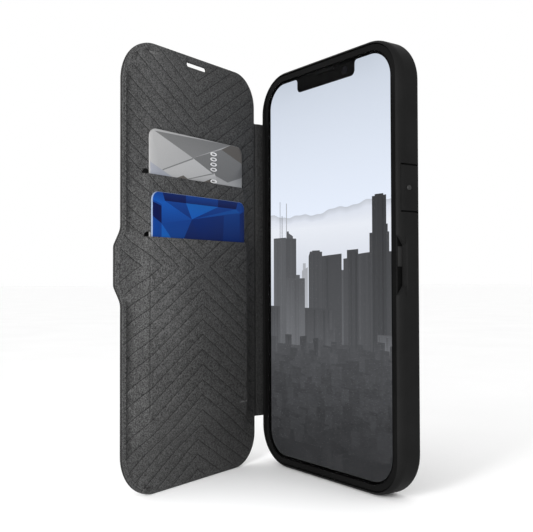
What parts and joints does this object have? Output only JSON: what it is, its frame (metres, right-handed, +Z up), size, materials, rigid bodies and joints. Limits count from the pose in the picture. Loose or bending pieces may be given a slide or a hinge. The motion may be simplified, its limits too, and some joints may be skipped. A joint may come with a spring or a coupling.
{
  "type": "phone wallet case",
  "caption": "Folio phone case: soft bumper tray, hinged spine and fabric cover with card pockets and a magnetic tab, holding a phone and cards.",
  "frame": {"origin": "centre of the case's flat back face", "axes": "+X right seen from the screen side, +Y straight out of the case's back, +Z up along the case's long side"},
  "size_m": [0.0849, 0.0912, 0.1638],
  "materials": {
    "bumper_tpu": "matte",
    "shell_plastic": "matte",
    "lining_fabric": "heathered",
    "outer_fabric": "woven",
    "stiffener": "raw",
    "magnet_steel": "plated",
    "silver_card": "printed",
    "blue_card": "printed",
    "phone_metal": "graphite",
    "screen_glass": "polished",
    "screen": "lit",
    "black_mask": "gloss",
    "earpiece": "mesh",
    "phone_back": "frosted",
    "lens_metal": "turned",
    "lens_glass": "coated",
    "flash": "frosted",
    "antenna": "satin",
    "inner_metal": "plain",
    "battery": "foil",
    "board": "solder mask"
  },
  "bodies": {
    "case": {"bumper": "bumper_tpu", "back_shell": "shell_plastic", "case_lining": "lining_fabric", "back_fabric": "outer_fabric", "camera_ring": "bumper_tpu", "case_magnet": "magnet_steel"},
    "power_button": {"power_button_cover": "bumper_tpu"},
    "volume_up_button": {"volume_up_cover": "bumper_tpu"},
    "volume_down_button": {"volume_down_cover": "bumper_tpu"},
    "spine": {"spine_lining": "lining_fabric", "spine_board": "stiffener", "spine_fabric": "outer_fabric"},
    "cover": {"cover_fabric": "outer_fabric", "cover_board": "stiffener", "tab_magnet": "magnet_steel", "cover_lining": "lining_fabric", "upper_pocket": "lining_fabric", "lower_pocket": "lining_fabric"},
    "upper_card": {"silver_card": "silver_card"},
    "lower_card": {"blue_card": "blue_card"},
    "phone": {"phone_frame": "phone_metal", "front_glass": "screen_glass", "display_panel": "screen", "display_bezel": "black_mask", "sensor_bar": "black_mask", "earpiece_mesh": "earpiece", "front_camera": "lens_glass", "mid_plate": "inner_metal", "battery": "battery", "logic_board": "board", "charging_port": "inner_metal", "antenna_window": "antenna", "back_glass": "phone_back", "camera_plateau": "phone_back", "camera_lens_rings": "lens_metal", "camera_lens_glasses": "lens_glass", "flash_window": "flash"},
    "power_key": {"side_key": "phone_metal"},
    "volume_up_key_body": {"volume_up_key": "phone_metal"},
    "volume_down_key_body": {"volume_down_key": "phone_metal"},
    "mute_switch": {"mute_lever": "phone_metal"}
  },
  "joints": [
    {"name": "spine_hinge", "type": "hinge", "parent": "case", "child": "spine", "pos_m": [-0.0424, 0.0001, 0], "axis": [0, 0, -1], "range_deg": [0, 180]},
    {"name": "cover_hinge", "type": "hinge", "parent": "spine", "child": "cover", "pos_m": [-0.0424, -0.01345, 0], "axis": [0, 0, -1], "range_deg": [-72, 108]},
    {"name": "upper_card_slide", "type": "slide", "parent": "cover", "child": "upper_card", "axis": [0, 0, 1], "range_m": [0, 0.068]},
    {"name": "lower_card_slide", "type": "slide", "parent": "cover", "child": "lower_card", "axis": [0, 0, 1], "range_m": [0, 0.068]},
    {"name": "phone_slide", "type": "slide", "parent": "case", "child": "phone", "axis": [0, -1, 0], "range_m": [0, 0.0075]},
    {"name": "power_button_press", "type": "slide", "parent": "case", "child": "power_button", "axis": [-1, 0, 0], "range_m": [0, 0.0004], "stiffness_N_per_m": 2000},
    {"name": "volume_up_press", "type": "slide", "parent": "case", "child": "volume_up_button", "axis": [1, 0, 0], "range_m": [0, 0.0004], "stiffness_N_per_m": 2000},
    {"name": "volume_down_press", "type": "slide", "parent": "case", "child": "volume_down_button", "axis": [1, 0, 0], "range_m": [0, 0.0004], "stiffness_N_per_m": 2000},
    {"name": "power_key_press", "type": "slide", "parent": "phone", "child": "power_key", "axis": [-1, 0, 0], "range_m": [0, 0.0004], "stiffness_N_per_m": 2000},
    {"name": "volume_up_key_press", "type": "slide", "parent": "phone", "child": "volume_up_key_body", "axis": [1, 0, 0], "range_m": [0, 0.0004], "stiffness_N_per_m": 2000},
    {"name": "volume_down_key_press", "type": "slide", "parent": "phone", "child": "volume_down_key_body", "axis": [1, 0, 0], "range_m": [0, 0.0004], "stiffness_N_per_m": 2000},
    {"name": "mute_switch_slide", "type": "slide", "parent": "phone", "child": "mute_switch", "axis": [0, 1, 0], "range_m": [0, 0.001]}
  ],
  "couplings": [
    {"joint": "power_key_press", "follows": "power_button_press", "ratio": 1},
    {"joint": "volume_up_key_press", "follows": "volume_up_press", "ratio": 1},
    {"joint": "volume_down_key_press", "follows": "volume_down_press", "ratio": 1}
  ]
}
